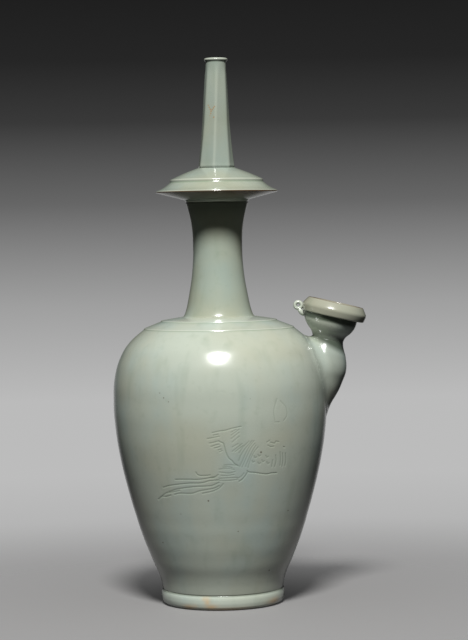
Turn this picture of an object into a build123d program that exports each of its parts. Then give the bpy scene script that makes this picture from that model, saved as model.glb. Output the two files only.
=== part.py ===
# Korean celadon kundika, a ritual water sprinkler of glazed stoneware, built from the clay members
# that the potter throws or cuts one by one and lutes together with slip.
# Millimetres, +Z up. The origin is the centre of the foot, and the filling spout is on the +X side.
from build123d import *
import math
import os

# Foot ring
foot_radius = 42.0
foot_height = 10.0
foot_wall = 9.0
foot_recess_depth = 6.0
foot_edge_round = 5.0
foot_top_bevel = 0.9
seat_ledge = 2.2

# Body: ankle and flank are heights above the foot ring, belly and crown are drops below the neck seat
body_wall = 4.5
body_height = 185.1
belly_radius = 72.6
belly_drop = 59.1
ankle_radius = 48.2
ankle_height = 21.0
flank_radius = 58.6
flank_height = 50.5
crown_inset = 5.8
crown_drop = 25.6
foot_flow = (0.1, 1)
shoulder_flow = (-1, 0.62)
floor_thickness = 7.0
floor_curve = 14.0
luting_gap = 0.1

# Two turned steps on the shoulder, placed from the axis and down from the neck seat
outer_step_radius = 51.2
outer_step_drop = 8.2
inner_step_radius = 39.6
inner_step_drop = 3.1
step_rise = 0.7
step_slope = 0.3

# Neck, with its waist measured up from its seat on the shoulder
neck_wall = 4.0
neck_height = 77.5
neck_foot_radius = 24.3
neck_waist_radius = 16.8
neck_waist_height = 47.0
neck_top_radius = 21.3
neck_foot_flow = (-0.4, 1)
neck_top_flow = (0.6, 1)

# Flange: a dish below and a stepped roof above, joined in the plane of the thin rim
flange_radius = 41.5
flange_wall = 3.6
flange_seam = 9.0
passage_radius = 11.0
plate_rise = 7.1
plate_collar = 1.6
rim_edge = 0.7
roof_height = 15.9
roof_crown = 0.4
eave_radius = 31.8
eave_height = 8.2
eave_riser = 1.9
eave_round = 0.8
flare_sag = 1.0
roof_land = 0.5

# Spout tube, cut to eight facets that turn slightly as they rise, with a round lip
tube_height = 74.4
tube_foot_radius = 12.6
tube_middle_radius = 9.6
tube_middle_height = 30.0
tube_top_radius = 7.4
tube_bore_radius = 6.8
facet_count = 8
front_facet_angle = 53.0
front_edge_bearing = -8.0
facet_turn = 14.0
lip_radius = 7.8
lip_height = 3.4
lip_round = 0.9
mouth_radius = 3.5
mouth_length = 9.0

# Filling spout, on its own leaning axis through the waist between bulb and cup
spout_lean = 13.5
waist_reach = 1.4
waist_drop = 16.6
waist_radius = 10.65
filler_wall = 4.0
bulb_radius = 16.9
bulb_drop = 18.6
tail_radius = 14.2
tail_drop = 35.0
tail_length = 66.0
bulb_waist_flow = (0.25, -1)
bulb_tail_flow = (-0.36, -1)
hollow_end_flow = (-1, -0.2)
port_radius = 8.5

# Cup above the waist, its rim set slightly towards the neck
cup_height = 15.6
cup_rim_radius = 18.8
cup_bowl_radius = 17.3
cup_bowl_height = 9.9
cup_shift = 1.8

# Collar round the open mouth
collar_height = 9.9
collar_radius = 22.3
collar_belt_height = 4.8
collar_foot_radius = 21.2
collar_top_radius = 18.9
collar_round = 0.9
filler_mouth_radius = 15.6

# Eyelet that once took the cord of a lid, on the collar's neck side
eyelet_radius = 3.3
eyelet_hole_radius = 1.0
eyelet_width = 3.8
eyelet_stand = 2.4
eyelet_height = 2.4
eyelet_round = 0.8

# Levels and radii that neighbouring members share
neck_seat = foot_height + body_height
neck_top = neck_seat + neck_height
rim_level = neck_top + plate_rise
tube_seat = rim_level + roof_height
lip_top = tube_seat + tube_height
foot_recess_radius = foot_radius - foot_wall
foot_seat_radius = foot_recess_radius + seat_ledge
base_radius = foot_radius - foot_top_bevel
neck_hole_radius = neck_foot_radius - neck_wall
flange_hollow_radius = flange_radius - flange_seam

# Axis of the filling spout, the plane that it is drawn in, and the centre of its waist
lean = math.radians(spout_lean)
spout_up = Vector(math.sin(lean), 0, math.cos(lean))
spout_out = Vector(math.cos(lean), 0, -math.sin(lean))
waist_centre = Vector(belly_radius + waist_reach, 0, neck_seat - waist_drop)
spout_side = Plane(waist_centre, x_dir=spout_out, z_dir=(0, -1, 0))
spout_axis = Axis(waist_centre, spout_up)
port_level = (waist_centre - spout_up * bulb_drop).Z


def inner_points(outline, wall, start, count):
    """Points one wall inside an outline that is walked upwards, from the start share to its end."""
    points = []
    for step in range(count):
        where = start + (1 - start) * step / (count - 1)
        inwards = (outline % where).rotate(Axis.Z, 90)
        points.append(outline @ where + inwards * wall)
    return points


def facet_corners(radius, turn):
    """Corners of the hand-cut tube: two wider facets to the front and narrower ones behind."""
    narrow = (360 - 2 * front_facet_angle) / (facet_count - 2)
    bearing = front_edge_bearing - front_facet_angle + turn
    corners = []
    for facet in range(facet_count):
        angle = math.radians(bearing)
        corners.append((radius * math.sin(angle), -radius * math.cos(angle)))
        bearing += front_facet_angle if facet < 2 else narrow
    return corners


# Foot ring: trimmed, rounded where it meets the table, with a ledge inside that the body sits on
with BuildPart() as foot_ring:
    with BuildSketch(Plane.XZ):
        with BuildLine():
            Polyline(
                (foot_recess_radius, 0),
                (foot_radius, 0),
                (foot_radius, foot_height - foot_top_bevel),
                (base_radius, foot_height),
                (foot_seat_radius, foot_height),
                (foot_seat_radius, foot_recess_depth),
                (foot_recess_radius, foot_recess_depth),
                close=True,
            )
        ring = make_face()
        fillet(ring.vertices().group_by(Axis.Y)[0].sort_by(Axis.X)[-1], foot_edge_round)
    revolve(axis=Axis.Z)

# Body: a hollow jar with a high belly, a flat shoulder and two turned steps round the neck
with BuildLine() as flank_line:
    flank = Spline(
        (base_radius, foot_height),
        (ankle_radius, foot_height + ankle_height),
        (flank_radius, foot_height + flank_height),
        (belly_radius, neck_seat - belly_drop),
        (belly_radius - crown_inset, neck_seat - crown_drop),
        (outer_step_radius, neck_seat - outer_step_drop),
        tangents=(foot_flow, shoulder_flow),
    )

with BuildPart() as body_form:
    with BuildSketch(Plane.XZ):
        with BuildLine():
            add(flank)
            riser = Line(flank @ 1, flank @ 1 + Vector(-step_slope, step_rise))
            ledge = Line(riser @ 1, (inner_step_radius, neck_seat - inner_step_drop))
            riser = Line(ledge @ 1, ledge @ 1 + Vector(-step_slope, step_rise))
            Polyline(
                riser @ 1,
                (neck_foot_radius, neck_seat),
                (0, neck_seat),
                (0, foot_height),
                flank @ 0,
            )
        make_face()
    revolve(axis=Axis.Z)

with BuildPart() as body:
    add(body_form.part)
    with BuildSketch(Plane.XY.offset(foot_recess_depth)):
        Circle(foot_seat_radius - luting_gap)
    extrude(amount=foot_height - foot_recess_depth)
    with BuildSketch(Plane.XZ):
        with BuildLine():
            floor_level = foot_recess_depth + floor_thickness
            inner_flank = Spline(inner_points(flank, body_wall, start=0.08, count=9))
            floor_bend = TangentArc(
                inner_flank @ 0,
                (base_radius - floor_curve, floor_level),
                tangent=-(inner_flank % 0),
            )
            Polyline(
                inner_flank @ 1,
                (neck_foot_radius, neck_seat - body_wall),
                (0, neck_seat - body_wall),
                (0, floor_level),
                floor_bend @ 1,
            )
        make_face()
    revolve(axis=Axis.Z, mode=Mode.SUBTRACT)
    with BuildSketch(Plane.XY.offset(neck_seat)):
        Circle(neck_hole_radius)
    extrude(amount=-2 * body_wall, mode=Mode.SUBTRACT)
    with BuildSketch(Plane.YZ.offset(waist_centre.X)):
        with Locations((0, port_level)):
            Circle(port_radius)
    extrude(amount=-waist_centre.X, mode=Mode.SUBTRACT)

# Neck: a waisted tube, open at both ends
with BuildLine() as neck_line:
    neck_side = Spline(
        (neck_foot_radius, neck_seat),
        (neck_waist_radius, neck_seat + neck_waist_height),
        (neck_top_radius, neck_top),
        tangents=(neck_foot_flow, neck_top_flow),
    )

with BuildPart() as neck:
    with BuildSketch(Plane.XZ):
        with BuildLine():
            add(neck_side)
            add(neck_side.moved(Location((-neck_wall, 0))))
            Line(neck_side @ 0, neck_side @ 0 - Vector(neck_wall, 0))
            Line(neck_side @ 1, neck_side @ 1 - Vector(neck_wall, 0))
        make_face()
    revolve(axis=Axis.Z)

# Flange dish: a shallow cone from the neck to the rim, with the water passage through it
with BuildPart() as flange_plate:
    with BuildSketch(Plane.XZ):
        with BuildLine():
            Polyline(
                (passage_radius, neck_top),
                (neck_top_radius, neck_top),
                (neck_top_radius + rim_edge, neck_top + plate_collar),
                (flange_radius, rim_level - rim_edge),
                (flange_radius, rim_level),
                (flange_hollow_radius, rim_level),
                (passage_radius, neck_top + flange_wall),
                close=True,
            )
        make_face()
    revolve(axis=Axis.Z)

# Flange roof: a low cone, a step at the eave and a hollow flare out to the thin rim
with BuildPart() as flange_dome:
    with BuildSketch(Plane.XZ):
        with BuildLine():
            eave = Vector(eave_radius, rim_level + eave_height)
            land = Vector(tube_foot_radius + roof_land, tube_seat)
            SagittaArc(land, eave, roof_crown)
            riser = Line(eave, eave - Vector(0, eave_riser))
            flare = SagittaArc(riser @ 1, (flange_radius, rim_level + rim_edge), -flare_sag)
            Polyline(
                flare @ 1,
                (flange_radius, rim_level),
                (flange_hollow_radius, rim_level),
                eave - Vector(flange_wall, flange_wall),
                land - Vector(0, flange_wall),
                (tube_bore_radius, tube_seat - flange_wall),
                (tube_bore_radius, tube_seat),
                land,
            )
        roof = make_face()
        fillet(roof.vertices().sort_by_distance((eave.X, eave.Y))[0], eave_round)
    revolve(axis=Axis.Z)

# Spout tube: facets cut by hand, a round lip left on top, and a bore that narrows to the mouth
with BuildPart() as spout_tube:
    tube_stations = (
        (0, tube_foot_radius),
        (tube_middle_height, tube_middle_radius),
        (tube_height - lip_height, tube_top_radius),
    )
    for height, radius in tube_stations:
        with BuildSketch(Plane.XY.offset(tube_seat + height)):
            Polygon(*facet_corners(radius, facet_turn * height / tube_height), align=None)
    loft()
    with BuildSketch(Plane.XZ):
        with BuildLine():
            Polyline(
                (0, lip_top - lip_height),
                (tube_top_radius - lip_round, lip_top - lip_height),
                (lip_radius, lip_top - lip_height / 2),
                (lip_radius, lip_top),
                (0, lip_top),
                close=True,
            )
        lip = make_face()
        fillet(lip.vertices().group_by(Axis.X)[-1], lip_round)
    revolve(axis=Axis.Z)
    with BuildSketch(Plane.XZ):
        with BuildLine():
            Polyline(
                (0, tube_seat),
                (tube_bore_radius, tube_seat),
                (mouth_radius, lip_top - mouth_length),
                (mouth_radius, lip_top),
                (0, lip_top),
                close=True,
            )
        make_face()
    revolve(axis=Axis.Z, mode=Mode.SUBTRACT)

# Filler bulb: a hollow teardrop luted over the port, open towards the body and at the waist
with BuildPart() as filler_bulb:
    with BuildSketch(spout_side):
        with BuildLine():
            drop = Spline(
                (waist_radius, 0),
                (bulb_radius, -bulb_drop),
                (tail_radius, -tail_drop),
                tangents=(bulb_waist_flow, bulb_tail_flow),
            )
            Polyline(drop @ 1, (0, -tail_length), (0, 0), drop @ 0)
        make_face()
    revolve(axis=spout_axis)
    with BuildSketch(spout_side):
        with BuildLine():
            hollow = Spline(
                (waist_radius - filler_wall, 0),
                (bulb_radius - filler_wall, -bulb_drop),
                (0, filler_wall - tail_drop),
                tangents=(bulb_waist_flow, hollow_end_flow),
            )
            Polyline(hollow @ 1, (0, 0), hollow @ 0)
        make_face()
    revolve(axis=spout_axis, mode=Mode.SUBTRACT)
    add(body_form.part, mode=Mode.SUBTRACT)

# Filler cup: a bowl opened out from the waist, its rim set towards the neck
cup_stations = (
    (0, waist_radius),
    (cup_bowl_height, cup_bowl_radius),
    (cup_height, cup_rim_radius),
)
with BuildPart() as filler_cup:
    for wall, way in ((0, Mode.ADD), (filler_wall, Mode.SUBTRACT)):
        for height, radius in cup_stations:
            with BuildSketch(Plane(waist_centre + spout_up * height, spout_out, spout_up)):
                with Locations((-cup_shift * height / cup_height, 0)):
                    Circle(radius - wall)
        loft(mode=way)

# Collar: a wide bevelled band round the open mouth, overhanging the cup
with BuildPart() as collar_form:
    with BuildSketch(spout_side):
        with BuildLine():
            Polyline(
                (0, cup_height),
                (collar_foot_radius, cup_height),
                (collar_radius, cup_height + collar_belt_height),
                (collar_top_radius, cup_height + collar_height),
                (0, cup_height + collar_height),
                close=True,
            )
        band = make_face()
        fillet(band.vertices().filter_by(lambda corner: corner.X > cup_rim_radius), collar_round)
    revolve(axis=spout_axis)

with BuildPart() as rim_collar:
    add(collar_form.part)
    with BuildSketch(Plane(waist_centre + spout_up * cup_height, spout_out, spout_up)):
        Circle(filler_mouth_radius)
    extrude(amount=collar_height, mode=Mode.SUBTRACT)

# Eyelet: a pierced tab of clay pressed on to the collar
with BuildPart() as lid_eyelet:
    with BuildSketch(spout_side):
        with Locations((-collar_radius - eyelet_stand / 2, cup_height + eyelet_height)):
            SlotCenterToCenter(eyelet_stand, 2 * eyelet_radius)
    extrude(amount=eyelet_width / 2, both=True)
    fillet(edges().filter_by(GeomType.CIRCLE), eyelet_round)
    with BuildSketch(spout_side):
        with Locations((-collar_radius - eyelet_stand, cup_height + eyelet_height)):
            Circle(eyelet_hole_radius)
    extrude(amount=eyelet_width, both=True, mode=Mode.SUBTRACT)
    add([collar_form.part, filler_cup.part], mode=Mode.SUBTRACT)

# One file for each member
members = {
    "foot_ring": foot_ring,
    "body": body,
    "neck": neck,
    "flange_plate": flange_plate,
    "flange_dome": flange_dome,
    "spout_tube": spout_tube,
    "filler_bulb": filler_bulb,
    "filler_cup": filler_cup,
    "rim_collar": rim_collar,
    "lid_eyelet": lid_eyelet,
}
os.makedirs("parts", exist_ok=True)
for name, member in members.items():
    member.part.label = name
    export_step(member.part, f"parts/{name}.step")
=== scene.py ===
# A Korean celadon kundika, a ritual water sprinkler: the finish of its ten clay members, which the
# potter threw or cut one by one, luted together with slip and covered with one grey-green glaze.
# Sizes are in millimetres and are made metres where a mesh is built.
import math

import bpy
import numpy as np
from mathutils import Matrix, Vector
from mathutils.bvhtree import BVHTree
from mathutils.kdtree import KDTree


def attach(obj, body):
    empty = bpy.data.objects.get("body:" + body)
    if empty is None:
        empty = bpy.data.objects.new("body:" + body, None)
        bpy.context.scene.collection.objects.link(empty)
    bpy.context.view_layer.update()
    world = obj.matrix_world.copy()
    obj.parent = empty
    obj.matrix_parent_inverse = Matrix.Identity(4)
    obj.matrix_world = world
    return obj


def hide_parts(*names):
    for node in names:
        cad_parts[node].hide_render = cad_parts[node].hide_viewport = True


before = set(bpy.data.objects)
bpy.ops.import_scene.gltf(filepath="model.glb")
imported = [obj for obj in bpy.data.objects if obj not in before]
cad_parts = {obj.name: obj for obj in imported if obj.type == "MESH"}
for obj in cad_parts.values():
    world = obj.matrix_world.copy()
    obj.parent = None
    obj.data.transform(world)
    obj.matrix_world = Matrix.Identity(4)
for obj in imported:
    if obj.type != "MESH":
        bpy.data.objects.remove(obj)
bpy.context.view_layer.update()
mm = 0.001

# Camera: a long lens about a metre and a half in front of the vessel and a little above its middle,
# looking slightly down, with the filling spout on the right and the vessel leaning a little left.
camera_place = (10.33, -1529.7, 249.7)
camera_pitch = 2.15
camera_roll = -0.92
focal_length_pixels = 2250
picture_height = 640
sensor_length = 36.0
bpy.ops.object.camera_add(location=Vector(camera_place) * mm)
camera = bpy.context.object
camera.name = "camera"
camera.rotation_mode = "ZYX"
camera.rotation_euler = (math.radians(90 - camera_pitch), 0, math.radians(camera_roll))
camera.data.sensor_width = sensor_length
camera.data.lens = focal_length_pixels / picture_height * sensor_length
bpy.context.scene.camera = camera


# Foot ring: a low band of stoneware, trimmed on the wheel and glazed thinly, so that it is paler than
# the body. It was wiped where it stands, and the bare clay burnt orange there in the kiln.
foot_radius = 42.0
foot_height = 10.0
foot_inside = 33.0
foot_contact = 37.4
wheel_turns = 180


def drawn(name, outline, fineness):
    """Draws a closed outline of (radius, height, round) points; points with a round are corners."""
    bpy.ops.object.select_all(action="DESELECT")
    bpy.ops.curve.primitive_bezier_curve_add()
    curve = bpy.context.object
    curve.name = name
    curve.data.resolution_u = fineness
    spline = curve.data.splines[0]
    spline.bezier_points.add(len(outline) - 2)
    spline.use_cyclic_u = True
    corners = []
    for knot, (radius, height, *soft) in zip(spline.bezier_points, outline):
        knot.co = (radius * mm, 0, height * mm)
        knot.handle_left_type = "VECTOR" if soft else "AUTO"
        knot.handle_right_type = "VECTOR" if soft else "AUTO"
        if soft and soft[0]:
            corners.append((knot.co.copy(), soft[0] * mm))
    bpy.ops.object.convert(target="MESH")
    piece = bpy.context.object
    bpy.ops.object.mode_set(mode="EDIT")
    bpy.ops.mesh.select_mode(type="VERT")
    for place, soft in corners:
        bpy.ops.mesh.select_all(action="DESELECT")
        bpy.ops.object.mode_set(mode="OBJECT")
        nearest = min(piece.data.vertices, key=lambda vertex: (vertex.co - place).length)
        nearest.select = True
        bpy.ops.object.mode_set(mode="EDIT")
        bpy.ops.mesh.bevel(affect="VERTICES", offset=soft, segments=4)
    bpy.ops.object.mode_set(mode="OBJECT")
    return piece


def turned(name, outline, turns=wheel_turns, fineness=10):
    """Turns a closed outline round the upright axis, as on a wheel."""
    piece = drawn(name, outline, fineness)
    bpy.ops.object.mode_set(mode="EDIT")
    bpy.ops.mesh.select_all(action="SELECT")
    bpy.ops.mesh.spin(steps=turns, angle=math.tau, center=(0, 0, 0), axis=(0, 0, 1))
    bpy.ops.mesh.select_all(action="SELECT")
    bpy.ops.mesh.remove_doubles(threshold=0.004 * mm)
    bpy.ops.mesh.delete_loose(use_faces=False)
    bpy.ops.mesh.select_all(action="SELECT")
    bpy.ops.mesh.normals_make_consistent(inside=False)
    bpy.ops.object.mode_set(mode="OBJECT")
    return piece


def points_of(piece):
    """The places of a piece's points, in millimetres."""
    flat = np.empty(len(piece.data.vertices) * 3)
    piece.data.vertices.foreach_get("co", flat)
    return flat.reshape(-1, 3) / mm


def move_points(piece, places):
    """Puts a piece's points at new places, in millimetres."""
    piece.data.vertices.foreach_set("co", (places * mm).ravel())
    piece.data.update()


def ramp(value, start, run):
    """0 as far as start, 1 once the value is a run further on, and a straight rise between."""
    return np.clip((value - start) / run, 0, 1)


oval_share = 0.0022
lobe_share = 0.0011
sway = 0.8
sway_start = 295
sway_run = 75


def hand_made(piece):
    """Gives every member the same slight sway and ovalness, so that the joints stay closed."""
    places = points_of(piece)
    x, y, z = places.T
    bearing = np.arctan2(y, x)
    oval = oval_share * np.sin(2 * bearing + 0.6 + z / 90)
    oval += lobe_share * np.sin(3 * bearing - 1.1 + z / 60)
    places[:, :2] *= (1 - oval_share + oval)[:, None]
    places[:, 0] += sway * ramp(z, sway_start, sway_run) ** 1.5
    move_points(piece, places)


hollow_gain = 3
hollow_passes = 3


def mark_hollows(piece):
    """Stores where glaze gathers, above zero in hollows, and where it runs thin, below zero on edges."""
    mesh = piece.data
    count = len(mesh.vertices)
    places = points_of(piece)
    normals = np.empty(count * 3)
    mesh.vertex_normals.foreach_get("vector", normals)
    normals = normals.reshape(-1, 3)
    ends = np.empty(len(mesh.edges) * 2, dtype=int)
    mesh.edges.foreach_get("vertices", ends)
    first, second = ends.reshape(-1, 2).T
    run = places[second] - places[first]
    square = np.maximum((run**2).sum(1), 1e-6)
    number = np.maximum(np.bincount(np.r_[first, second], minlength=count), 1)
    rise = np.bincount(first, (run * normals[first]).sum(1) / square, count)
    rise -= np.bincount(second, (run * normals[second]).sum(1) / square, count)
    hollow = np.tanh(rise / number * hollow_gain)
    for _ in range(hollow_passes):
        around = np.bincount(first, hollow[second], count) + np.bincount(second, hollow[first], count)
        hollow = (hollow + around) / (number + 1)
    mesh.attributes.new("hollow", "FLOAT", "POINT").data.foreach_set("value", hollow)


def cut_with(piece, cutter, operation="DIFFERENCE"):
    """Cuts a piece with a closed form, or joins them, and throws the form away."""
    modifier = piece.modifiers.new("cut", "BOOLEAN")
    modifier.object = cutter
    modifier.operation = operation
    bpy.context.view_layer.objects.active = piece
    bpy.ops.object.modifier_apply(modifier=modifier.name)
    bpy.data.objects.remove(cutter)


class Flow:
    """One value or colour in a material, so that shader maths reads as plain arithmetic."""

    tree = None

    def __init__(self, socket):
        self.socket = socket

    @classmethod
    def node(cls, kind, settings=None, sockets=None, output=0):
        """Adds a node with its settings and the values or links of its sockets, and gives one output."""
        node = cls.tree.nodes.new(kind)
        settings = dict(settings or {})
        for place, (stop, shade) in enumerate(settings.pop("stops", ())):
            elements = node.color_ramp.elements
            element = elements[place] if place < 2 else elements.new(stop)
            element.position = stop
            element.color = (*shade, 1) if isinstance(shade, tuple) else (shade, shade, shade, 1)
        for name, value in settings.items():
            setattr(node, name, value)
        for name, value in (sockets or {}).items():
            if isinstance(value, Flow):
                cls.tree.links.new(value.socket, node.inputs[name])
            else:
                node.inputs[name].default_value = value
        return cls(node.outputs[output])

    def maths(self, operation, other=0.0, order=1):
        """A Math node of this flow and another; order -1 puts the other first."""
        pair = (self, other) if order == 1 else (other, self)
        return Flow.node("ShaderNodeMath", {"operation": operation}, dict(enumerate(pair)))

    def __add__(self, other):
        return self.maths("ADD", other)

    def __sub__(self, other):
        return self.maths("SUBTRACT", other)

    def __mul__(self, other):
        return self.maths("MULTIPLY", other)

    def __rsub__(self, other):
        return self.maths("SUBTRACT", other, order=-1)

    __radd__ = __add__
    __rmul__ = __mul__

    def between(self, low, high):
        """0 below low, 1 above high, and a soft step between them."""
        return Flow.node(
            "ShaderNodeMapRange",
            {"interpolation_type": "SMOOTHSTEP"},
            {"Value": self, "From Min": low, "From Max": high},
        )


def tint(first, second, share):
    """A colour mixed from two colours."""
    return Flow.node(
        "ShaderNodeMix", {"data_type": "RGBA"}, {0: share, 6: as_colour(first), 7: as_colour(second)}, 2
    )


def as_colour(shade):
    """A colour given as 0 to 255 red, green and blue, made linear, or a flow left as it is."""
    if isinstance(shade, Flow):
        return shade
    return (*[((part / 255 + 0.055) / 1.055) ** 2.4 for part in shade], 1)


def cloud(size, detail=2.0, stretch=(1, 1, 1)):
    """Soft noise with patches about as wide as size, in millimetres."""
    where = Flow.node("ShaderNodeTexCoord", output=3)
    where = Flow.node("ShaderNodeMapping", None, {"Vector": where, "Scale": stretch})
    sockets = {"Vector": where, "Scale": 1 / (size * mm), "Detail": detail}
    return Flow.node("ShaderNodeTexNoise", None, sockets)


def attribute(name):
    """A value that the mesh stores at its points."""
    return Flow.node("ShaderNodeAttribute", {"attribute_name": name}, output=2)


def new_finish(name):
    """Starts a material and returns it with its surface shader."""
    material = bpy.data.materials.new(name)
    material.use_nodes = True
    Flow.tree = material.node_tree
    return material, material.node_tree.nodes["Principled BSDF"]


def connect(shader, **flows):
    """Links flows to the surface shader's sockets, named with underscores for spaces."""
    for name, flow in flows.items():
        Flow.tree.links.new(flow.socket, shader.inputs[name.replace("_", " ")])


glaze_shade = (163, 170, 157)
glaze_thin = (180, 184, 171)
glaze_deep = (104, 122, 99)
glaze_pool_and_shade = (50, 62, 46)
blue_shift = (-11, -2, 6)
olive_shift = (-2, -9, -16)
iron_shade = (74, 62, 44)
speck_core = 0.35
speck_strength = 0.8
darkening_strength = 0.26

# What the members' points store, each with its shade and its strength in full. The first layer is glaze
# gathered at the foot and painted shade under the flange, the waist and the collar.
painted_layers = (
    ("pool_and_shade", glaze_pool_and_shade, 0.9),
    ("incised", (84, 102, 80), 0.44),
    ("scar", (96, 74, 52), 1),
    ("burnt", (198, 160, 108), 0.8),
)


def speck(place, size):
    """A small round mark on the surface, at a place and of a radius in millimetres."""
    where = Flow.node("ShaderNodeTexCoord", output=3)
    sockets = {0: where, 1: Vector(place) * mm}
    away = Flow.node("ShaderNodeVectorMath", {"operation": "DISTANCE"}, sockets, 1)
    return (1 - away.between(size * speck_core * mm, size * mm)) * speck_strength


def celadon(name, shade=glaze_shade, thin=glaze_thin, specks=(), speck_shade=iron_shade):
    """Grey-green glaze: clouded in colour, thin on edges, gathered in hollows."""
    material, shader = new_finish(name)
    clouds = cloud(38, detail=3, stretch=(1, 1, 0.6))
    runs = cloud(9, detail=2, stretch=(1, 1, 0.16))
    mist = cloud(5, detail=4)
    blue = tuple(part + shift for part, shift in zip(shade, blue_shift))
    olive = tuple(part + shift for part, shift in zip(shade, olive_shift))
    colour = tint(shade, blue, clouds.between(0.42, 0.72) * 0.7)
    colour = tint(colour, olive, cloud(55, detail=2).between(0.45, 0.7) * 0.55)
    colour = tint(colour, glaze_deep, runs.between(0.5, 0.8) * 0.18 + mist.between(0.55, 0.75) * 0.1)
    hollow = attribute("hollow")
    colour = tint(colour, thin, (0 - hollow).between(0.06, 0.6) * 0.55)
    colour = tint(colour, glaze_deep, hollow.between(0.02, 0.4) * 0.45)
    for stored, layer_shade, strength in painted_layers:
        colour = tint(colour, layer_shade, attribute(stored) * strength)
    for place, size in specks:
        colour = tint(colour, speck_shade, speck(place, size))
    share_left = 1 - attribute("darkened") * darkening_strength
    colour = Flow.node("ShaderNodeVectorMath", {"operation": "SCALE"}, {0: colour, "Scale": share_left})
    connect(shader, Base_Color=colour)
    roughness = cloud(14, detail=2) * 0.12 + 0.15
    connect(shader, Roughness=roughness)
    ripple = cloud(7, detail=2) * 0.6 + cloud(2.2, detail=1) * 0.25
    bump = Flow.node("ShaderNodeBump", None, {"Strength": 0.12, "Distance": 0.3 * mm, "Height": ripple})
    connect(shader, Normal=bump)
    shader.inputs["IOR"].default_value = 1.5
    shader.inputs["Coat Weight"].default_value = 0.35
    shader.inputs["Coat Roughness"].default_value = 0.1
    return material


def fire(piece, finish, slot, *nodes):
    """The last steps of every member: smooth, glazed, riding on the vessel and standing for its node."""
    hand_made(piece)
    bpy.ops.object.select_all(action="DESELECT")
    piece.select_set(True)
    bpy.context.view_layer.objects.active = piece
    bpy.ops.object.shade_smooth()
    mark_hollows(piece)
    piece.data.materials.clear()
    piece.data.materials.append(finish)
    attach(piece, "root")
    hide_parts(*nodes)


def paint(piece, name, rule):
    """Stores at every point of a piece a share from 0 to 1, by a rule of x, y and z in millimetres."""
    share = np.clip(rule(*points_of(piece).T), 0, 1)
    piece.data.attributes.new(name, "FLOAT", "POINT").data.foreach_set("value", share)


foot = turned(
    "foot_glaze",
    (
        (foot_inside, 0.0, 0.4),
        (foot_contact, 0.0, 0.3),
        (39.3, 0.4),
        (40.8, 1.6),
        (41.6, 3.5),
        (foot_radius, 6.0),
        (41.95, 8.2),
        (41.45, foot_height - 0.05, 0.12),
        (foot_inside + 2.2, foot_height, 0),
        (foot_inside + 2.2, 6.0, 0),
        (foot_inside, 6.0, 0),
    ),
)
celadon_foot = celadon("pale_foot_glaze", shade=(175, 184, 172), thin=(196, 200, 188))
fire(foot, celadon_foot, "foot_glaze", "foot_ring")
burnt_patches = (
    (-14.5, 2.6, 6.0, 3.5, 0.75),
    (-17, 2.4, 8.0, 1.6, 0.6),
    (-11, 6.0, 2.2, 2.4, 0.9),
    (4, 22, 0.6, 1.7, 0.8),
    (-34, 7, 1.4, 2.2, 0.95),
    (-27, 3, 2.4, 2.0, 0.5),
    (56, 9, 3.5, 2.4, 0.8),
    (118, 14, 2.0, 3.0, 0.7),
    (-148, 10, 3.0, 3.0, 0.7),
)


def burnt(x, y, z):
    """How far the foot's clay is burnt: patches by bearing, width, level, height and strength."""
    bearing = np.degrees(np.arctan2(x, -y))
    patches = [
        strength * np.exp(-(((bearing - middle) / width) ** 2) - ((z - level) / tall) ** 2)
        for middle, width, level, tall, strength in burnt_patches
    ]
    return np.max(patches, axis=0)


foot_pool_level = 9.0
foot_pool_run = 0.8
foot_pool_radius = 40
foot_pool_share = 0.55


def foot_pool(x, y, z):
    """Glaze that gathered along the top of the foot's outer wall."""
    outer_wall = np.hypot(x, y) > foot_pool_radius
    return foot_pool_share * ramp(z, foot_pool_level, foot_pool_run) * outer_wall


paint(foot, "burnt", burnt)
paint(foot, "pool_and_shade", foot_pool)


# Body: a jar with a high round belly, thrown on the wheel, with two turned steps round the neck. A
# long-tailed bird in flight is incised on the front, and the glaze lies deeper in its lines.
neck_seat = 195.1
jar_turns = 160
jar_fineness = 8
jar_side = (
    (41.1, 10.0, 0),
    (42.75, 18.0),
    (48.2, 31.0),
    (53.67, 45.0),
    (58.6, 60.5),
    (64.06, 80.0),
    (68.79, 101.0),
    (71.59, 120.0),
    (72.6, 138.0),
    (71.28, 156.0),
    (66.8, 169.5),
    (61.22, 178.0),
    (51.2, 186.9, 0.4),
    (50.9, 187.6, 0.4),
    (39.6, 192.0, 0.4),
    (39.3, 192.7, 0.4),
    (24.3, neck_seat, 0),
)
jar = turned(
    "body_glaze",
    (
        *jar_side,
        (20.3, neck_seat, 0),
        (20.3, 190.6, 0),
        (46.0, 184.0),
        (62.0, 168.0),
        (68.0, 136.0),
        (54.1, 60.5),
        (44.0, 32.0),
        (27.0, 13.0),
        (0.0, 13.0, 0),
        (0.0, 6.0, 0),
        (35.1, 6.0, 0),
        (35.1, 10.0, 0),
    ),
    turns=jar_turns,
    fineness=jar_fineness,
)
port_place = Vector((68, 0, 160.4))
port_radius = 8.5
port_length = 30
bpy.ops.mesh.primitive_cylinder_add(
    vertices=64,
    radius=port_radius * mm,
    depth=port_length * mm,
    location=port_place * mm,
    rotation=(0, math.pi / 2, 0),
)
cut_with(jar, bpy.context.object)

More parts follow.
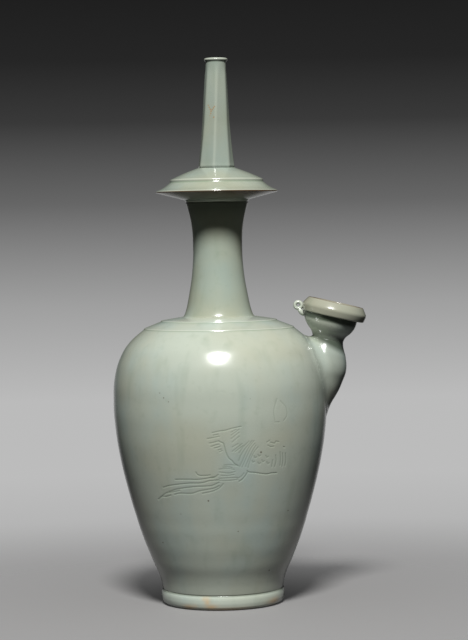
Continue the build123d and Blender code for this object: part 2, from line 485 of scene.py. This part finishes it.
# The drawing is set down as strokes of points on a grid of 0.652 mm, seen from the front and a little
# from above, that starts on the axis at the height of the bird's breast and counts right and down.
grid = 0.652
grid_level = 110.2
grid_turn = 0.016
sight_slope = 0.0955
drawing = (
    # the tail, seven long feathers
    (0.9, (
        ((-45.5, 30.2), (-38, 30), (-31, 30), (-21, 30), (-11, 28.5), (-6, 28), (-2, 25)),
        ((-58, 38.5), (-51, 36.5), (-41, 35), (-31, 34), (-21, 33.8), (-16, 33), (-11, 31.5), (-1, 30.5)),
        ((-52, 43), (-45, 40.5), (-37, 39), (-25, 37.5), (-15, 37), (-9, 36.5), (-4, 34.5), (-1, 33)),
        ((-61, 49), (-58, 46.5), (-54, 44), (-50, 43.5), (-41, 41.5)),
        ((-46.5, 45.8), (-41, 44.5), (-29, 44.5), (-21, 42), (-13, 40.5), (-6, 39), (-1, 36.5)),
        ((-18, 44.5), (-11, 43), (-6, 41.5), (-2, 39.5), (1, 37), (3, 34.5)),
        ((-63, 51), (-59, 48), (-55, 48), (-50, 46.5)),
        ((-24.5, 22.5), (-23, 25), (-20, 26), (-15, 26), (-10, 25.5)),
        ((-11, 28), (-6, 27.5), (-3, 26)),
    )),
    # the rump
    (0.6, (
        ((4, 15.5), (9, 15), (16, 15.5)),
        ((3, 17.5), (8, 17), (12, 18)),
        ((-1, 19.5), (5, 19), (10, 19), (14, 20)),
        ((-1, 22.5), (3, 23), (9, 23.5), (15, 22)),
        ((1, 26), (7, 26), (14, 25)),
        ((-1, 29), (7, 28.5), (17, 28)),
        ((-1, 31), (9, 31), (18, 30)),
        ((17, 29), (21, 27), (24, 23.5)),
    )),
    # the front of the wing, the belly and the root of the tail
    (1.0, (
        ((-1, -8.5), (3, -7), (4.5, -3), (5.5, 1), (7, 5), (9, 8.5), (12, 11), (14.5, 14), (18, 16)),
        ((27, 21), (29, 22.5), (35, 23), (41, 24), (47, 24.5), (52, 23.5), (57, 23.3)),
        ((19, 32), (22, 30), (25, 26.5), (27.5, 22.5)),
        ((64, -3.5), (65, -3)),
    )),
    # the upper edge and the tip of the wing
    (0.8, (
        ((-8, -17.5), (-2, -19), (5, -20), (12, -22), (21, -24)),
        ((-7, -15), (-2, -16)),
        ((-13, -11.5), (-8, -12.5), (-1, -14)),
        ((-11, -7), (-6, -8), (-1, -9.5)),
        ((-9, -3.5), (-5, -5), (-1, -6)),
        ((-6, -2), (-2, -3), (0, -4)),
        ((-2, 0), (1, -1)),
        ((-1, 2), (2, 0.5)),
    )),
    # the barbs of the wing
    (0.6, (
        ((11, -18), (16, -21)),
        ((11, -15), (19, -21)),
        ((11, -11.5), (19, -18)),
        ((12, -8), (19, -14)),
        ((12, -3), (18, -6.5)),
        ((12, 1.5), (22, -6.5)),
        ((15, 1.5), (23, -4.5)),
        ((29, -9), (23, -3), (19, 3)),
        ((32, -9.5), (25.5, -2), (21, 5), (18.5, 11)),
        ((34, -9.5), (29, -3), (25, 5), (22, 12), (19.5, 17)),
        ((35, -7), (31, -2), (27.5, 5), (24.5, 12), (22, 17.5)),
        ((36, -5), (33, 0), (30, 6), (27.5, 12), (25.5, 17)),
        ((38, -3), (34, 2), (31, 8), (29, 14), (28, 18)),
    )),
    # the head, the breast and its scales
    (0.7, (
        ((48, -5), (51, -3.5), (54, -4)),
        ((47, -8), (50, -10)),
        ((50.5, -8), (55, -7), (56, -9), (59, -8.5)),
        ((56, 5), (56.5, 11), (55, 17)),
        ((60.5, 2), (61, 8), (60.5, 16)),
        ((63, 3), (63.5, 10), (62.5, 17)),
        ((66, 3), (66.5, 10), (65.5, 16)),
        ((53, 10), (52, 17)),
        ((34, 6), (35, 8), (36.5, 7)),
        ((32, 10.5), (33, 12.5), (34.5, 11.5)),
        ((38, 4.5), (39, 6.3), (40.5, 5.3)),
        ((38, 12.5), (39, 14.2), (40.5, 13)),
        ((42, 10), (43, 12), (44.5, 11)),
        ((46, 5.5), (47, 7.5), (48.5, 6.5)),
        ((47, 12), (48, 14), (49.5, 13)),
    )),
    # a leaf above it
    (0.45, (
        ((60.7, -50), (66.4, -43.3), (67.3, -35.7), (64, -30)),
        ((57, -52), (54, -40), (55, -30)),
        ((55, -28.6), (59.7, -28.6)),
    )),
)
line_depth = 0.24
line_width = 0.34
line_reach = 3 * line_width
drawing_bottom = 60
drawing_top = 155
fine_band = 3.5
fine_cuts = 6
skin = 0.5
axis_reach = 30
ridge_height = 0.028
ridge_level = 51.25
ridge_pitch = 12.5
ridge_fade_level = 85
ridge_fade_run = -25
ridge_foot_level = 12
ridge_foot_run = 8

# The outside of the jar, measured on a finer outline, and without the part of it that is on the axis
solid_side = (*jar_side, (0.0, neck_seat, 0), (0.0, foot_height, 0))
side = drawn("side", solid_side, 40)
side_points = points_of(side)
bpy.data.objects.remove(side)
side_points = side_points[side_points[:, 0] > axis_reach]
side_points = side_points[np.argsort(side_points[:, 2])]


def side_radius(height):
    """The radius of the jar's outside at a height."""
    return np.interp(height, side_points[:, 2], side_points[:, 0])


def on_jar(right, down):
    """The place on the front of the jar of a point of the drawing's grid."""
    across = (right - grid_turn * down) * grid
    height = grid_level - (down + grid_turn * right) * grid
    radius = side_radius(height)
    depth = math.sqrt(radius**2 - across**2)
    height -= (radius - depth) * sight_slope
    radius = side_radius(height)
    return Vector((across, -math.sqrt(radius**2 - across**2), height))


def stroke_places(stroke, step=0.15):
    """Places along a smooth stroke through its points."""
    knots = [2 * Vector(stroke[0]) - Vector(stroke[1]), *map(Vector, stroke)]
    knots.append(2 * knots[-1] - knots[-2])
    for a, b, c, d in zip(knots, knots[1:], knots[2:], knots[3:]):
        count = max(int((c - b).length * grid / step), 1)
        for number in range(count + 1):
            share = number / count
            curve = 2 * b + (c - a) * share + (2 * a - 5 * b + 4 * c - d) * share**2
            curve += (3 * b - a - 3 * c + d) * share**3
            yield on_jar(*(curve / 2))


drawn_places = [
    (place, strength)
    for strength, strokes in drawing
    for stroke in strokes
    for place in stroke_places(stroke)
]
lines = KDTree(len(drawn_places))
for number, (place, _) in enumerate(drawn_places):
    lines.insert(place, number)
lines.balance()
bpy.ops.object.select_all(action="DESELECT")
jar.select_set(True)
bpy.context.view_layer.objects.active = jar
bpy.ops.object.mode_set(mode="EDIT")
bpy.ops.mesh.select_mode(type="FACE")
bpy.ops.mesh.select_all(action="DESELECT")
bpy.ops.object.mode_set(mode="OBJECT")
for face in jar.data.polygons:
    centre = face.center / mm
    outside = math.hypot(centre.x, centre.y) > side_radius(centre.z) - 2 * skin
    face.select = outside and centre.y < 0 and lines.find(centre)[2] < fine_band
bpy.ops.object.mode_set(mode="EDIT")
bpy.ops.mesh.subdivide(number_cuts=fine_cuts)
bpy.ops.object.mode_set(mode="OBJECT")
places = points_of(jar)
around = np.hypot(places[:, 0], places[:, 1])
level = places[:, 2]
at_drawing = (places[:, 1] < 0) & (level > drawing_bottom) & (level < drawing_top)
outside = (around > side_radius(level) - skin) & at_drawing
places[outside, :2] *= (side_radius(level) / np.maximum(around, 1))[outside, None]
incised = np.zeros(len(places))
for number in np.flatnonzero(outside):
    _, nearest, distance = lines.find(places[number])
    if distance < line_reach:
        incised[number] = drawn_places[nearest][1] * math.exp(-((distance / line_width) ** 2))
ridges = ridge_height * np.sin((level - ridge_level) / ridge_pitch * math.tau)
ridges *= ramp(level, ridge_fade_level, ridge_fade_run)
ridges *= ramp(level, ridge_foot_level, ridge_foot_run)
ridges *= around > side_radius(level) - skin
places[:, :2] *= (1 + (ridges - line_depth * incised) / np.maximum(around, 1))[:, None]
move_points(jar, places)

# Pits and iron specks in the glaze, on the grid of the drawing, each with its radius.
pits = (
    (-12, 52, 0.9), (41, 2, 1.0), (-59, 97, 0.8), (50, 127, 0.9), (69, 63, 0.8), (-61, -58, 0.6),
    (-57, -53, 0.7), (-52, -49, 0.6), (30, -52, 0.5), (-40, 66, 0.5), (18, 84, 0.6),
)
pit_specks = [(on_jar(right, down), size) for right, down, size in pits]
celadon_body = celadon("celadon_glaze", specks=pit_specks)
fire(jar, celadon_body, "celadon", "body")
jar.data.attributes.new("incised", "FLOAT", "POINT").data.foreach_set("value", incised)
# Darker towards the bottom of the jar.
darkening_below = 38
darkening_run = 25
paint(jar, "darkened", lambda x, y, z: (darkening_below - z) / darkening_run)


# Neck: a slender waisted tube, thrown separately and luted to the shoulder and to the flange.
neck_top = 272.6
neck_pipe = turned(
    "neck_glaze",
    (
        (24.3, neck_seat - 0.2, 0),
        (23.2, neck_seat + 1.6),
        (19.6, 212.0),
        (17.35, 228.0),
        (16.8, 242.1),
        (17.6, 256.0),
        (21.3, neck_top, 0),
        (17.3, neck_top, 0),
        (12.8, 242.1),
        (20.3, neck_seat - 0.2, 0),
    ),
    fineness=16,
)
celadon_neck = celadon("neck_celadon_glaze", shade=(148, 155, 140), thin=(174, 177, 161))
fire(neck_pipe, celadon_neck, "celadon", "neck")
# Painted shadow: the top of the neck is darkened where the flange overhangs it.
neck_shadow_share = 0.6
neck_shadow_level = neck_top - 22
neck_shadow_run = 18
paint(neck_pipe, "pool_and_shade", lambda x, y, z: neck_shadow_share * ramp(z, neck_shadow_level, neck_shadow_run) ** 1.5)


# Flange: a dish and a stepped roof, joined in the plane of the thin rim, which shows dark clay.
rim_level = 279.7
tube_seat = 295.6
bare_rim = 40.8
bare_run = 0.4
# A darker shade of the glaze for the flange.
celadon_upper = celadon("darker_celadon_glaze", shade=(143, 150, 136), thin=(172, 175, 161))
dish = turned(
    "flange_dish_glaze",
    (
        (11.0, neck_top, 0),
        (21.3, neck_top, 0),
        (22.0, neck_top + 1.6, 0.4),
        (41.5, rim_level - 0.5, 0.3),
        (41.5, rim_level, 0),
        (32.5, rim_level, 0),
        (11.0, neck_top + 3.6, 0),
    ),
)
fire(dish, celadon_upper, "celadon", "flange_plate")
paint(dish, "scar", lambda x, y, z: ramp(np.hypot(x, y), bare_rim, bare_run))
roof = turned(
    "flange_roof_glaze",
    (
        (6.8, tube_seat, 0),
        (13.1, tube_seat, 0),
        (22.4, 292.1),
        (31.8, rim_level + 8.2, 0.8),
        (31.8, rim_level + 6.3, 0.6),
        (36.6, rim_level + 2.7),
        (41.5, rim_level + 0.5, 0.3),
        (41.5, rim_level, 0),
        (32.5, rim_level, 0),
        (28.2, rim_level + 4.6, 0),
        (13.1, tube_seat - 3.6, 0),
        (6.8, tube_seat - 3.6, 0),
    ),
)
fire(roof, celadon_upper, "celadon", "flange_dome")


# Spout tube: cut by hand to eight facets that turn a little as they rise, with a small round lip.
tube_height = 74.4
facet_bearings = (-61.0, -8.0, 45.0, 87.33, 129.67, 172.0, 214.33, 256.67)
facet_turn = 14.0
facet_bevel = 1.2
tube_sections = (
    (0.0, 13.0),
    (1.9, 12.45),
    (10.0, 11.55),
    (20.0, 10.5),
    (30.0, 9.6),
    (50.0, 8.5),
    (71.0, 7.2),
)
rounding_start = 63.0
rounding_run = 7.0
round_radius = 7.0
last_radius = tube_sections[0][1]
bpy.ops.object.select_all(action="DESELECT")
bpy.ops.mesh.primitive_circle_add(
    vertices=len(facet_bearings), radius=last_radius * mm, fill_type="NOTHING"
)
tube = bpy.context.object
tube.name = "tube_glaze"
for point, bearing in zip(tube.data.vertices, facet_bearings):
    angle = math.radians(bearing)
    point.co = Vector((last_radius * math.sin(angle), -last_radius * math.cos(angle), tube_seat)) * mm
bpy.ops.object.mode_set(mode="EDIT")
bpy.ops.mesh.select_all(action="SELECT")
tube_steps = 36
tube_run = tube_sections[-1][0]
rise = (0, 0, tube_run / tube_steps * mm)
for step in range(1, tube_steps + 1):
    height = tube_run * step / tube_steps
    radius = float(np.interp(height, *zip(*tube_sections)))
    share = radius / last_radius
    centre = (0, 0, (tube_seat + height) * mm)
    bpy.ops.mesh.extrude_region_move(TRANSFORM_OT_translate={"value": rise})
    bpy.ops.transform.resize(value=(share, share, 1), center_override=centre)
    bpy.ops.transform.rotate(
        value=math.radians(-facet_turn / tube_steps), orient_axis="Z", center_override=centre
    )
    last_radius = radius
bpy.ops.object.mode_set(mode="OBJECT")


def choose_edges(piece, wanted):
    """Selects the edges for which the test of their two ends, in millimetres, holds."""
    bpy.ops.mesh.select_mode(type="EDGE")
    bpy.ops.mesh.select_all(action="DESELECT")
    bpy.ops.object.mode_set(mode="OBJECT")
    places = points_of(piece)
    for edge in piece.data.edges:
        edge.select = bool(wanted(*places[list(edge.vertices)]))
    bpy.ops.object.mode_set(mode="EDIT")


bpy.ops.object.mode_set(mode="EDIT")
choose_edges(tube, lambda a, b: abs(b[2] - a[2]) > 1)
bpy.ops.mesh.bevel(offset=facet_bevel * mm, segments=5)
choose_edges(tube, lambda a, b: abs(b[2] - a[2]) < 0.01 and math.dist(a, b) > 1.5)
bpy.ops.mesh.subdivide(number_cuts=5)
bpy.ops.mesh.select_all(action="SELECT")
bpy.ops.mesh.normals_make_consistent(inside=False)
bpy.ops.object.mode_set(mode="OBJECT")
places = points_of(tube)
around = np.hypot(places[:, 0], places[:, 1])
rounded = ramp(places[:, 2], tube_seat + rounding_start, rounding_run)
target = np.where(around > 1, round_radius, around)
places[:, :2] *= (1 + (target / np.maximum(around, 0.01) - 1) * rounded)[:, None]
move_points(tube, places)
lip_sections = (
    (71.5, 7.02), (72.0, 7.15), (72.4, 7.45), (72.7, 7.8), (73.1, 8.02),
    (73.6, 8.0), (74.0, 7.75), (74.3, 7.2), (tube_height, 6.4), (tube_height, 4.9),
    (74.25, 4.2), (73.8, 3.7), (73.2, 3.5), (65.4, 3.5), (0.0, 6.8),
)
bpy.ops.object.mode_set(mode="EDIT")
choose_edges(tube, lambda a, b: min(a[2], b[2]) > tube_seat + tube_run - 0.01)
last_level, last_radius = tube_run, round_radius
for level, radius in lip_sections:
    rise = (0, 0, (level - last_level) * mm)
    bpy.ops.mesh.extrude_region_move(TRANSFORM_OT_translate={"value": rise})
    share = radius / last_radius
    bpy.ops.transform.resize(value=(share, share, 1), center_override=(0, 0, (tube_seat + level) * mm))
    last_level, last_radius = level, radius
choose_edges(tube, lambda a, b: max(a[2], b[2]) < tube_seat + 0.01)
bpy.ops.mesh.bridge_edge_loops()
bpy.ops.mesh.select_all(action="SELECT")
bpy.ops.mesh.normals_make_consistent(inside=False)
bpy.ops.object.mode_set(mode="OBJECT")
tube_marks = (
    (-5.0, 337.8, 0.75), (-4.4, 336.4, 0.8), (-3.7, 335.1, 0.8), (-3.2, 333.7, 0.85), (-3.4, 332.2, 0.8),
    (-3.9, 330.8, 0.7), (-2.5, 334.8, 0.8), (-1.7, 335.9, 0.8), (-0.9, 336.8, 0.7), (-1.4, 329.6, 0.8),
)
mark_shift = 0.35


def on_facets(x):
    """How far forward the tube's two front facets lie at the marks, left or right of their edge."""
    return max(-9.56 - 0.68 * x, -8.35 + 0.33 * x)


celadon_tube = celadon(
    "tube_celadon_glaze",
    shade=(139, 146, 133),
    thin=(172, 175, 161),
    specks=[((x + mark_shift, on_facets(x), z), size) for x, z, size in tube_marks],
    speck_shade=(146, 112, 74),
)
fire(tube, celadon_tube, "celadon", "spout_tube")


# Filling spout: it leans out from the shoulder on its own axis. Its bulb is a hollow teardrop that was
# cut to the curve of the body, luted on and smoothed with slip, so that a soft cove runs round it.
waist_centre = Vector((74.0, 0, 178.5))
spout_lean = math.radians(13.5)
spout_frame = Matrix.Translation(waist_centre * mm) @ Matrix.Rotation(spout_lean, 4, "Y")
spout_upwards = spout_frame.to_3x3() @ Vector((0, 0, 1))
waist_radius = 10.65
cove_reach = 6.0
cove_sharpness = 3.2
cove_full = 0.35
on_form = 0.05
shading_reach = 2.0


def lean_over(piece):
    """Moves a member that was turned upright on to the leaning axis of the filling spout."""
    piece.data.transform(spout_frame)
    piece.data.update()


def places_up_the_spout(x, z):
    """How far a point lies up the leaning axis of the filling spout, from its waist."""
    return (x - waist_centre.x) * math.sin(spout_lean) + (z - waist_centre.z) * math.cos(spout_lean)


def add_cove(piece, form, wall, reach, axis_point, along):
    """Spreads the foot of a luted member over the wall that carries it, in a cove of smoothed slip.

    form is the member before it was cut to the wall, and tells its sides from the cut itself."""
    for point in piece.data.vertices:
        place, normal, _, _ = wall.find_nearest(point.co)
        height = max((point.co - place).dot(normal) / mm, 0)
        if height > reach:
            continue
        _, side, _, distance = form.find_nearest(point.co)
        outwards = point.co - axis_point
        outwards -= along * outwards.dot(along)
        if distance > on_form * mm or side.dot(outwards) <= 0:
            continue
        level = (point.co - place).dot(normal)
        away = side - normal * side.dot(normal)
        spread = reach * (1 - height / reach) ** cove_sharpness * min(1.0, away.length / cove_full)
        place, normal, _, _ = wall.find_nearest(point.co + away.normalized() * spread * mm)
        point.co = place + normal * level
    piece.data.update()


def soften_joint(piece, wall, reach):
    """Lets the shading of a cove run out into the wall's, with no seam, and takes the edge's tint off."""
    mesh = piece.data
    normals = []
    darkened = []
    tints = np.empty(len(mesh.vertices))
    mesh.attributes["hollow"].data.foreach_get("value", tints)
    for point in mesh.vertices:
        place, normal, _, _ = wall.find_nearest(point.co)
        height = max((point.co - place).dot(normal) / mm, 0.0)
        # The member is darker away from its joint.
        darkened.append(min(height / (4 * reach), 1.0))
        share = min(height / reach, 1.0)
        share *= share * (3 - 2 * share)
        blended = normal.lerp(point.normal, share) if point.normal.dot(normal) > 0 else point.normal
        normals.append(blended.normalized())
        tints[point.index] *= share
    mesh.attributes["hollow"].data.foreach_set("value", tints)
    mesh.attributes.new("darkened", "FLOAT", "POINT").data.foreach_set("value", darkened)
    mesh.normals_split_custom_set_from_vertices(normals)


bulb = turned(
    "bulb_glaze",
    (
        (waist_radius, 0.0, 0),
        (11.5, -3.2),
        (14.9, -10.4),
        (16.9, -18.6),
        (16.2, -25.5),
        (14.2, -35.0),
        (9.6, -46.0),
        (0.0, -62.0, 0),
        (0.0, -31.0, 0),
        (8.5, -28.0),
        (12.9, -18.6),
        (10.0, -7.0),
        (6.65, 0.0, 0),
    ),
    fineness=12,
)
lean_over(bulb)
body_form = turned("body_form", solid_side, turns=jar_turns, fineness=jar_fineness)
view_layer = bpy.context.evaluated_depsgraph_get()
bulb_side = BVHTree.FromObject(bulb, view_layer)
body_wall = BVHTree.FromObject(body_form, view_layer)
seat_depth = 0.997
move_points(body_form, points_of(body_form) * (seat_depth, seat_depth, 1))
cut_with(bulb, body_form)
add_cove(bulb, bulb_side, body_wall, cove_reach, waist_centre * mm, spout_upwards)
fire(bulb, celadon_body, "celadon", "filler_bulb")
soften_joint(bulb, body_wall, shading_reach)
waist_shade_share = 0.9
waist_shade_tilt = 0.3
waist_shade_level = -6.0
waist_shade_run = 4


def waist_shade(x, y, z):
    """Painted shade under the waist, further down on the side away from the neck."""
    tilted = places_up_the_spout(x, z) + waist_shade_tilt * (x - waist_centre.x)
    return waist_shade_share * ramp(tilted, waist_shade_level, waist_shade_run)


paint(bulb, "pool_and_shade", waist_shade)


# Cup of the filling spout: a small bowl that opens from the waist, its rim set towards the neck.
cup_height = 15.6
cup_shift = 1.8
cup = turned(
    "cup_glaze",
    (
        (waist_radius, -0.1, 0),
        (11.6, 2.6),
        (15.2, 6.8),
        (17.4, 10.4),
        (18.8, cup_height, 0),
        (14.8, cup_height, 0),
        (12.8, 9.0),
        (6.65, -0.1, 0),
    ),
    turns=144,
)
places = points_of(cup)
places[:, 0] -= cup_shift * places[:, 2] / cup_height
move_points(cup, places)
lean_over(cup)
fire(cup, celadon_body, "celadon", "filler_cup")
collar_shadow_share = 1.1
collar_shadow_level = cup_height - 4.6
collar_shadow_run = 1.6
cup_waist_share = 0.8
cup_waist_level = 5.0
cup_waist_run = -4.0


def cup_shadow_and_waist(x, y, z):
    """Painted shadow under the overhanging collar, and darker towards the waist."""
    along = places_up_the_spout(x, z)
    under_collar = collar_shadow_share * ramp(along, collar_shadow_level, collar_shadow_run)
    in_waist = cup_waist_share * ramp(along, cup_waist_level, cup_waist_run)
    return np.maximum(under_collar, in_waist)


paint(cup, "pool_and_shade", cup_shadow_and_waist)


# Collar: a broad bevelled band round the open mouth, overhanging the cup, its top edge painted dark
# brown.
mouth_radius = 15.6
mouth_level = 25.5
edge_line_share = 0.7
collar = turned(
    "collar_glaze",
    (
        (mouth_radius, cup_height, 0),
        (21.2, cup_height, 0.9),
        (22.3, 20.4, 1.2),
        (18.9, mouth_level, 0.7),
        (mouth_radius, mouth_level, 0.6),
    ),
    turns=144,
)
lean_over(collar)
celadon_collar = celadon("collar_celadon_glaze", shade=(138, 139, 123), thin=(164, 163, 147))
fire(collar, celadon_collar, "celadon", "rim_collar")
paint(
    collar,
    "scar",
    lambda x, y, z: edge_line_share * ramp(places_up_the_spout(x, z), mouth_level - 0.4, 0.3),
)


# Eyelet: a tab of clay pressed on to the collar and pierced, once for the cord of a lid.
eyelet_place = (-24.7, 0, 18.0)
eyelet_stretch = (1.0, 1.5, 1.0)
eyelet_radius = 2.2
eyelet_thickness = 1.25
tab_place = (-21.9, 0, 14.1)
tab_size = (1.7, 2.4, 3.4)
tab_lean = 0.855
bpy.ops.object.select_all(action="DESELECT")
bpy.ops.mesh.primitive_torus_add(
    major_radius=eyelet_radius * mm,
    minor_radius=eyelet_thickness * mm,
    major_segments=48,
    minor_segments=20,
    rotation=(math.pi / 2, 0, 0),
    location=(0, 0, 0),
)
eyelet = bpy.context.object
eyelet.name = "eyelet_glaze"
bpy.ops.object.transform_apply()
move_points(eyelet, points_of(eyelet) * eyelet_stretch + eyelet_place)
bpy.ops.mesh.primitive_uv_sphere_add(segments=32, ring_count=20, radius=1 * mm, location=(0, 0, 0))
tab = bpy.context.object
tab_turn = np.array(Matrix.Rotation(tab_lean, 3, "Y"))
move_points(tab, points_of(tab) * tab_size @ tab_turn + tab_place)
cut_with(eyelet, tab, "UNION")
lean_over(eyelet)
fire(eyelet, celadon_body, "celadon", "lid_eyelet")


# Floor and light: a round of grey studio paper that fades into the air behind, which is pale low down
# and dark above, under one large soft box high over the camera. The paper throws light up from below.
floor_radius = 2.6
floor_shade = (132, 131, 130)
thrown_shade = (64, 64, 63)
bpy.ops.object.select_all(action="DESELECT")
bpy.ops.mesh.primitive_circle_add(vertices=128, radius=floor_radius, fill_type="NGON")
floor = bpy.context.object
floor.name = "studio_floor"
floor_finish, floor_shader = new_finish("studio_paper")
lit_by_it = Flow.node("ShaderNodeLightPath", output=2)
connect(floor_shader, Base_Color=tint(floor_shade, thrown_shade, lit_by_it))
floor_shader.inputs["Roughness"].default_value = 0.7
where = Flow.node("ShaderNodeTexCoord", output=3)
far = Flow.node("ShaderNodeVectorMath", {"operation": "LENGTH"}, {0: where}, 1)
shader_socket = Flow(floor_shader.outputs[0])
clear = Flow.node("ShaderNodeBsdfTransparent")
fade = far.between(-0.06, 0.5)
faded = Flow.node("ShaderNodeMixShader", None, {0: fade, 1: shader_socket, 2: clear})
Flow.tree.links.new(faded.socket, Flow.tree.nodes["Material Output"].inputs["Surface"])
floor.data.materials.append(floor_finish)

lamp_place = Vector((-0.03, -1.573, 2.143))
lamp_target = Vector((0, 0, 0.2))
lamp_power = 119
bpy.ops.object.light_add(type="AREA", location=lamp_place)
lamp = bpy.context.object
lamp.name = "key_box"
lamp.data.shape = "ELLIPSE"
lamp.data.size = 0.52
lamp.data.size_y = 0.58
lamp.data.energy = lamp_power
lamp.rotation_euler = (lamp_target - lamp_place).to_track_quat("-Z", "Y").to_euler()

air_shade = (46, 46, 46)
world = bpy.data.worlds.new("studio_air")
bpy.context.scene.world = world
world.use_nodes = True
Flow.tree = world.node_tree
sight = Flow.node("ShaderNodeTexCoord")
upwards = Flow.node("ShaderNodeSeparateXYZ", None, {0: sight}, 2)
behind = Flow.node("ShaderNodeSeparateXYZ", None, {0: sight}, 1).between(0.85, 0.99)
air_low, air_high = -0.18, 0.12
air_stops = (
    (0.0, 0.39),
    (0.12, 0.385),
    (0.18, 0.46),
    (0.25, 0.505),
    (0.36, 0.497),
    (0.5, 0.347),
    (0.65, 0.133),
    (0.77, 0.041),
    (0.86, 0.0194),
    (1.0, 0.011),
)
share = Flow.node(
    "ShaderNodeMapRange", None, {"Value": upwards, "From Min": air_low, "From Max": air_high}
)
air = Flow.node("ShaderNodeValToRGB", {"stops": air_stops}, {0: share})
rays = [Flow.node("ShaderNodeLightPath", output=number) for number in (0, 3, 6)]
seen = rays[0].maths("MAXIMUM", rays[1]).maths("MAXIMUM", rays[2])
air = tint(air_shade, air, seen * behind)
Flow.tree.links.new(air.socket, Flow.tree.nodes["Background"].inputs["Color"])

bpy.context.scene.view_settings.view_transform = "Standard"
